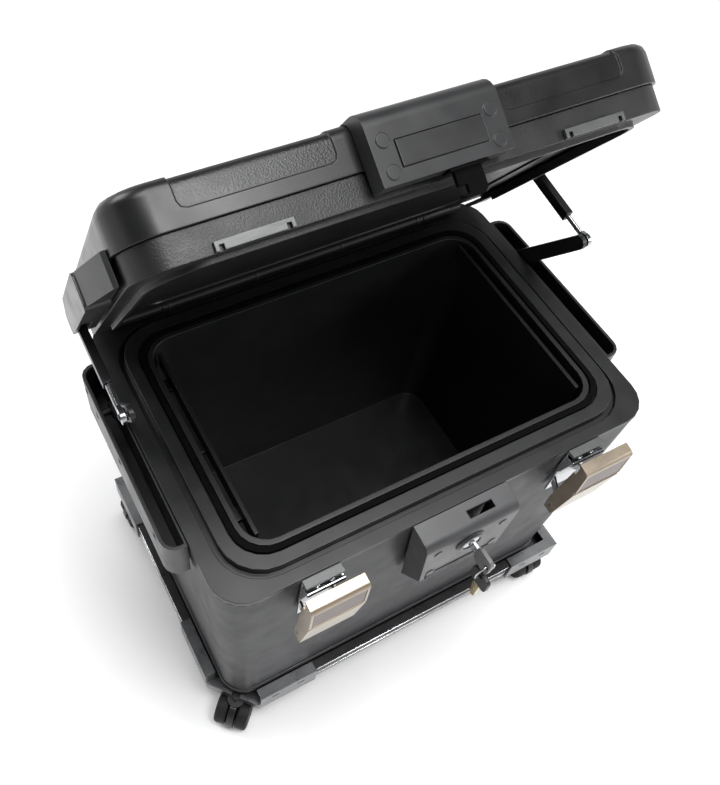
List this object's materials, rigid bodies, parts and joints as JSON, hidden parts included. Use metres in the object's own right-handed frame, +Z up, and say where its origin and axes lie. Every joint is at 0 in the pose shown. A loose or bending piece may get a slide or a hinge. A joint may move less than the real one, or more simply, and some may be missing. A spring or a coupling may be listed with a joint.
{
  "type": "fireproof document box",
  "caption": "Rigid insulated file chest with a hinged lid held by folding side stays, snap latches, a key lock, inner file rails and a wheeled cart.",
  "frame": {"origin": "on the floor, under the middle of the box's plan", "axes": "+X to the right along the front, +Y from the front to the back, +Z up"},
  "size_m": [0.438, 0.3683, 0.6106],
  "materials": {
    "moulded_black": "fine textured black moulding",
    "liner_black": "smooth satin black moulding",
    "trim_grey": "satin dark grey",
    "seal_rubber": "matt black seal rubber",
    "insulation": "off-white cast insulation",
    "rail_steel": "black painted steel",
    "chrome": "bright chrome plate",
    "bright_steel": "nickel-bright steel",
    "strike_zinc": "dull zinc plate",
    "champagne_lever": "champagne satin paint on moulded levers",
    "lever_insert": "mauve-grey panel",
    "lock_housing_grey": "satin dark grey moulding",
    "blank_plate": "blank dark plate",
    "cart_rail_black": "black grooved rail",
    "cart_bracket_grey": "dark grey pressed steel",
    "caster_tyre": "black nylon"
  },
  "bodies": {
    "base": {"base_shell": "moulded_black", "side_channel_left": "moulded_black", "side_channel_right": "moulded_black", "base_liner": "liner_black", "hinge_barrel_left": "liner_black", "hinge_barrel_right": "liner_black", "base_insulation": "insulation", "rim_gasket": "seal_rubber", "file_rail_left": "rail_steel", "file_rail_right": "rail_steel", "lock_escutcheon": "chrome", "latch_base_left": "chrome", "latch_base_right": "chrome", "hinge_pin": "bright_steel", "lock_housing": "lock_housing_grey", "cart_rail_front": "cart_rail_black", "cart_rail_back": "cart_rail_black", "cart_rail_left": "cart_rail_black", "cart_rail_right": "cart_rail_black", "cart_bracket_front_left": "cart_bracket_grey", "cart_bracket_front_right": "cart_bracket_grey", "cart_bracket_back_left": "cart_bracket_grey", "cart_bracket_back_right": "cart_bracket_grey"},
    "lid": {"lid_frame": "moulded_black", "lid_cover": "moulded_black", "lid_liner": "liner_black", "lid_insulation": "insulation", "name_block": "lock_housing_grey", "name_plate": "blank_plate", "hasp": "rail_steel", "strike_plate_left": "strike_zinc", "strike_plate_right": "strike_zinc", "hinge_leaf": "liner_black", "lid_lug_left": "trim_grey", "lid_lug_right": "trim_grey"},
    "stay_arm_left_body": {"stay_arm_left": "moulded_black"},
    "stay_tube_left_body": {"stay_body_left": "rail_steel"},
    "stay_rod_left_body": {"stay_rod_left": "chrome"},
    "latch_left": {"latch_lever_left": "champagne_lever", "latch_insert_left": "lever_insert"},
    "stay_arm_right_body": {"stay_arm_right": "moulded_black"},
    "stay_tube_right_body": {"stay_body_right": "rail_steel"},
    "stay_rod_right_body": {"stay_rod_right": "chrome"},
    "latch_right": {"latch_lever_right": "champagne_lever", "latch_insert_right": "lever_insert"},
    "lock_plug": {"lock_cylinder": "chrome"},
    "bolt": {"lock_bolt": "bright_steel"},
    "key_body": {"key": "bright_steel"},
    "ring_body": {"key_ring": "chrome"},
    "spare_key_body": {"spare_key": "bright_steel"},
    "caster_front_left": {"caster_fork_front_left": "caster_tyre"},
    "wheels_front_left": {"caster_wheels_front_left": "caster_tyre"},
    "caster_front_right": {"caster_fork_front_right": "caster_tyre"},
    "wheels_front_right": {"caster_wheels_front_right": "caster_tyre"},
    "caster_back_left": {"caster_fork_back_left": "caster_tyre"},
    "wheels_back_left": {"caster_wheels_back_left": "caster_tyre"},
    "caster_back_right": {"caster_fork_back_right": "caster_tyre"},
    "wheels_back_right": {"caster_wheels_back_right": "caster_tyre"}
  },
  "joints": [
    {"name": "lid_hinge", "type": "hinge", "parent": "base", "child": "lid", "pos_m": [0, 0.13, 0.352], "axis": [1, 0, 0], "range_deg": [0, 56]},
    {"name": "stay_arm_left_swing", "type": "hinge", "parent": "base", "child": "stay_arm_left_body", "pos_m": [-0.206, 0.064, 0.327], "axis": [1, 0, 0], "range_deg": [0, 51]},
    {"name": "stay_tube_left_swing", "type": "hinge", "parent": "lid", "child": "stay_tube_left_body", "pos_m": [-0.2121, 0.08164, 0.42191], "axis": [1, 0, 0], "range_deg": [-51, 0]},
    {"name": "stay_rod_left_slide", "type": "slide", "parent": "stay_tube_left_body", "child": "stay_rod_left_body", "axis": [0, -0.989, -0.1482], "range_m": [0, 0.0062]},
    {"name": "stay_arm_right_swing", "type": "hinge", "parent": "base", "child": "stay_arm_right_body", "pos_m": [0.206, 0.064, 0.327], "axis": [1, 0, 0], "range_deg": [0, 51]},
    {"name": "stay_tube_right_swing", "type": "hinge", "parent": "lid", "child": "stay_tube_right_body", "pos_m": [0.2121, 0.08164, 0.42191], "axis": [1, 0, 0], "range_deg": [-51, 0]},
    {"name": "stay_rod_right_slide", "type": "slide", "parent": "stay_tube_right_body", "child": "stay_rod_right_body", "axis": [0, -0.989, -0.1482], "range_m": [0, 0.0062]},
    {"name": "latch_left_swing", "type": "hinge", "parent": "base", "child": "latch_left", "pos_m": [-0.124, -0.158, 0.283], "axis": [-1, 0, 0], "range_deg": [-60, 15.3]},
    {"name": "latch_right_swing", "type": "hinge", "parent": "base", "child": "latch_right", "pos_m": [0.124, -0.158, 0.283], "axis": [-1, 0, 0], "range_deg": [-60, 15.3]},
    {"name": "lock_turn", "type": "hinge", "parent": "base", "child": "lock_plug", "pos_m": [0, -0.165, 0.32], "axis": [0, 1, 0], "range_deg": [0, 90]},
    {"name": "bolt_throw", "type": "slide", "parent": "base", "child": "bolt", "axis": [1, 0, 0], "range_m": [0, 0.0061]},
    {"name": "key_pull", "type": "slide", "parent": "lock_plug", "child": "key_body", "axis": [0, -1, 0], "range_m": [0, 0.02]},
    {"name": "key_ring_swing", "type": "hinge", "parent": "key_body", "child": "ring_body", "pos_m": [0, -0.1895, 0.32], "axis": [-1, 0, 0], "range_deg": [0, 35]},
    {"name": "spare_key_swing", "type": "hinge", "parent": "ring_body", "child": "spare_key_body", "pos_m": [0, -0.1895, 0.302], "axis": [-1, 0, 0], "range_deg": [-10, 30]},
    {"name": "caster_front_left_swivel", "type": "hinge", "parent": "base", "child": "caster_front_left", "pos_m": [-0.184, -0.126, 0.043], "axis": [0, 0, 1], "continuous": true},
    {"name": "caster_front_left_roll", "type": "hinge", "parent": "caster_front_left", "child": "wheels_front_left", "pos_m": [-0.18824, -0.13024, 0.017], "axis": [0.7071, -0.7071, 0], "continuous": true},
    {"name": "caster_front_right_swivel", "type": "hinge", "parent": "base", "child": "caster_front_right", "pos_m": [0.184, -0.126, 0.043], "axis": [0, 0, 1], "continuous": true},
    {"name": "caster_front_right_roll", "type": "hinge", "parent": "caster_front_right", "child": "wheels_front_right", "pos_m": [0.184, -0.132, 0.017], "axis": [1, 0, 0], "continuous": true},
    {"name": "caster_back_left_swivel", "type": "hinge", "parent": "base", "child": "caster_back_left", "pos_m": [-0.184, 0.126, 0.043], "axis": [0, 0, 1], "continuous": true},
    {"name": "caster_back_left_roll", "type": "hinge", "parent": "caster_back_left", "child": "wheels_back_left", "pos_m": [-0.19, 0.126, 0.017], "axis": [0, -1, 0], "continuous": true},
    {"name": "caster_back_right_swivel", "type": "hinge", "parent": "base", "child": "caster_back_right", "pos_m": [0.184, 0.126, 0.043], "axis": [0, 0, 1], "continuous": true},
    {"name": "caster_back_right_roll", "type": "hinge", "parent": "caster_back_right", "child": "wheels_back_right", "pos_m": [0.18824, 0.13024, 0.017], "axis": [-0.7071, 0.7071, 0], "continuous": true}
  ],
  "couplings": [
    {"joint": "stay_arm_left_swing", "follows": "lid_hinge", "ratio": 0.90893},
    {"joint": "stay_tube_left_swing", "follows": "lid_hinge", "ratio": -0.90936},
    {"joint": "stay_rod_left_slide", "follows": "lid_hinge", "m_per_rad": 0.0061145},
    {"joint": "stay_arm_right_swing", "follows": "lid_hinge", "ratio": 0.90893},
    {"joint": "stay_tube_right_swing", "follows": "lid_hinge", "ratio": -0.90936},
    {"joint": "stay_rod_right_slide", "follows": "lid_hinge", "m_per_rad": 0.0061145},
    {"joint": "bolt_throw", "follows": "lock_turn", "m_per_rad": 0.0038197}
  ]
}
